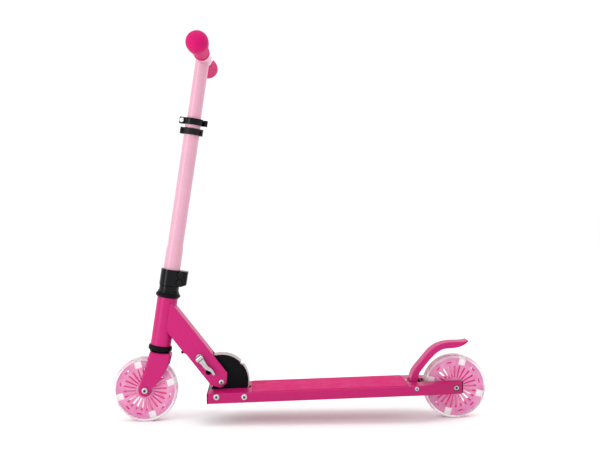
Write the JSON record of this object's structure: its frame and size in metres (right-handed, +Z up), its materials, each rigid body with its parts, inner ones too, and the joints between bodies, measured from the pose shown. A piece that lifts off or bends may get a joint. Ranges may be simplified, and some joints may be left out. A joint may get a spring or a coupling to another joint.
{
  "type": "kick scooter",
  "caption": "Folding kick scooter with a tilted footboard, a steerable height-adjustable handlebar, light-up wheels and a rear fender that presses down as a brake.",
  "frame": {"origin": "on the ground under the middle of the bounding box, halfway between the wheels", "axes": "+Z up, +X towards the rear wheel, -Y towards the rider's left"},
  "size_m": [0.702, 0.336, 0.6978],
  "materials": {
    "frame_paint": "glossy magenta powder coat",
    "deck_paint": "glossy magenta powder coat",
    "pale_paint": "satin pale pink powder coat",
    "black_paint": "satin black powder coat",
    "bare_steel": "brushed",
    "zinc_steel": "zinc plated",
    "black_steel": "black oxide",
    "chrome": "polished",
    "cast_alloy": "tumbled casting",
    "alloy_tube": "satin",
    "black_plastic": "fine grain",
    "black_alloy": "black anodised",
    "clear_tyre": "translucent cast urethane",
    "core_plastic": "translucent pink",
    "light_plastic": "clear, faintly frosted",
    "bearing_steel": "ground",
    "grip_rubber": "soft, matt",
    "grip_sheet": "fine grit",
    "spring_steel": "oiled",
    "black_rubber": "soft"
  },
  "bodies": {
    "deck": {"deck_shell": "deck_paint", "rear_yoke": "black_steel", "grip_tape": "grip_sheet", "front_end_cap": "black_plastic", "fold_cheeks": "black_paint", "fold_track": "bare_steel", "bracket_bolts": "zinc_steel", "bracket_sleeves": "zinc_steel", "pivot_bolt": "zinc_steel", "small_lock_nuts": "zinc_steel", "large_lock_nuts": "zinc_steel", "fender_pin": "zinc_steel", "fender_spring": "spring_steel", "tail_screw": "zinc_steel", "rear_axle_bolt": "zinc_steel", "rear_axle_spacers": "zinc_steel"},
    "rear_wheel": {"rear_tyre": "clear_tyre", "rear_wheel_core": "core_plastic", "rear_wheel_lights": "light_plastic", "rear_wheel_bearings": "bearing_steel"},
    "fender": {"fender_brake": "frame_paint"},
    "strut": {"neck_strut": "frame_paint", "head_tube": "frame_paint", "strut_bumper": "black_rubber", "lower_headset_cup": "black_steel", "upper_headset_cup": "black_steel", "headset_bearings": "bearing_steel", "latch_springs": "spring_steel"},
    "latch_pin": {"latch_block": "zinc_steel", "latch_skewer": "zinc_steel", "latch_washer": "zinc_steel"},
    "latch_handle": {"latch_lever": "cast_alloy"},
    "steering": {"fork": "frame_paint", "steerer": "alloy_tube", "crown_race": "black_steel", "headset_locknut": "black_alloy", "stem_clamp": "black_alloy", "clamp_bolts": "black_steel", "steering_tube": "pale_paint", "stop_collar": "black_plastic", "stop_collar_screws": "black_steel", "height_collar": "black_alloy", "collar_skewer": "chrome", "front_axle_bolt": "zinc_steel", "front_axle_nut": "zinc_steel", "front_axle_spacers": "zinc_steel"},
    "height_handle": {"height_lever": "black_alloy"},
    "front_wheel": {"front_tyre": "clear_tyre", "front_wheel_core": "core_plastic", "front_wheel_lights": "light_plastic", "front_wheel_bearings": "bearing_steel"},
    "handlebar": {"handlebar_tee": "pale_paint", "handle_tubes": "alloy_tube", "left_grip": "grip_rubber", "right_grip": "grip_rubber"},
    "column_button": {"height_button": "chrome"},
    "left_button": {"left_handle_button": "chrome"},
    "right_button": {"right_handle_button": "chrome"}
  },
  "joints": [
    {"name": "rear_wheel_spin", "type": "hinge", "parent": "deck", "child": "rear_wheel", "pos_m": [0.291, 0, 0.06], "axis": [0, 1, 0], "continuous": true},
    {"name": "fender_press", "type": "hinge", "parent": "deck", "child": "fender", "pos_m": [0.211, 0, 0.065], "axis": [0, 1, 0], "range_deg": [0, 16], "stiffness_Nm_per_rad": 0.6, "springref_deg": -20.05, "deforming": ["fender_spring"]},
    {"name": "fold", "type": "hinge", "parent": "deck", "child": "strut", "pos_m": [-0.1492, 0, 0.0742], "axis": [0, 1, 0], "range_deg": [0, 80]},
    {"name": "latch_release", "type": "slide", "parent": "strut", "child": "latch_pin", "axis": [-0.617, 0, 0.7869], "range_m": [-0.004, 0], "deforming": ["latch_springs"]},
    {"name": "latch_lever_swing", "type": "hinge", "parent": "latch_pin", "child": "latch_handle", "pos_m": [-0.18909, -0.0258, 0.12005], "axis": [-0.7869, 0, -0.617], "range_deg": [0, 85]},
    {"name": "steer", "type": "hinge", "parent": "strut", "child": "steering", "pos_m": [-0.2568, 0, 0.185], "axis": [0.1495, 0, 0.9888], "continuous": true},
    {"name": "front_wheel_spin", "type": "hinge", "parent": "steering", "child": "front_wheel", "pos_m": [-0.291, 0, 0.06], "axis": [0, 1, 0], "continuous": true},
    {"name": "height_lever_swing", "type": "hinge", "parent": "steering", "child": "height_handle", "pos_m": [-0.22099, 0.0115, 0.56087], "axis": [0.1495, 0, 0.9888], "range_deg": [0, 110]},
    {"name": "height_slide", "type": "slide", "parent": "steering", "child": "handlebar", "axis": [0.1495, 0, 0.9888], "range_m": [0, 0.08], "deforming": ["height_button"]},
    {"name": "height_button_press", "type": "slide", "parent": "handlebar", "child": "column_button", "axis": [0.9888, 0, -0.1495], "range_m": [-0.004, 0], "stiffness_N_per_m": 1500, "springref_m": 0.002},
    {"name": "left_button_press", "type": "slide", "parent": "handlebar", "child": "left_button", "axis": [0.9888, 0, -0.1495], "range_m": [-0.004, 0], "stiffness_N_per_m": 1500, "springref_m": 0.002},
    {"name": "right_button_press", "type": "slide", "parent": "handlebar", "child": "right_button", "axis": [0.9888, 0, -0.1495], "range_m": [-0.004, 0], "stiffness_N_per_m": 1500, "springref_m": 0.002}
  ]
}
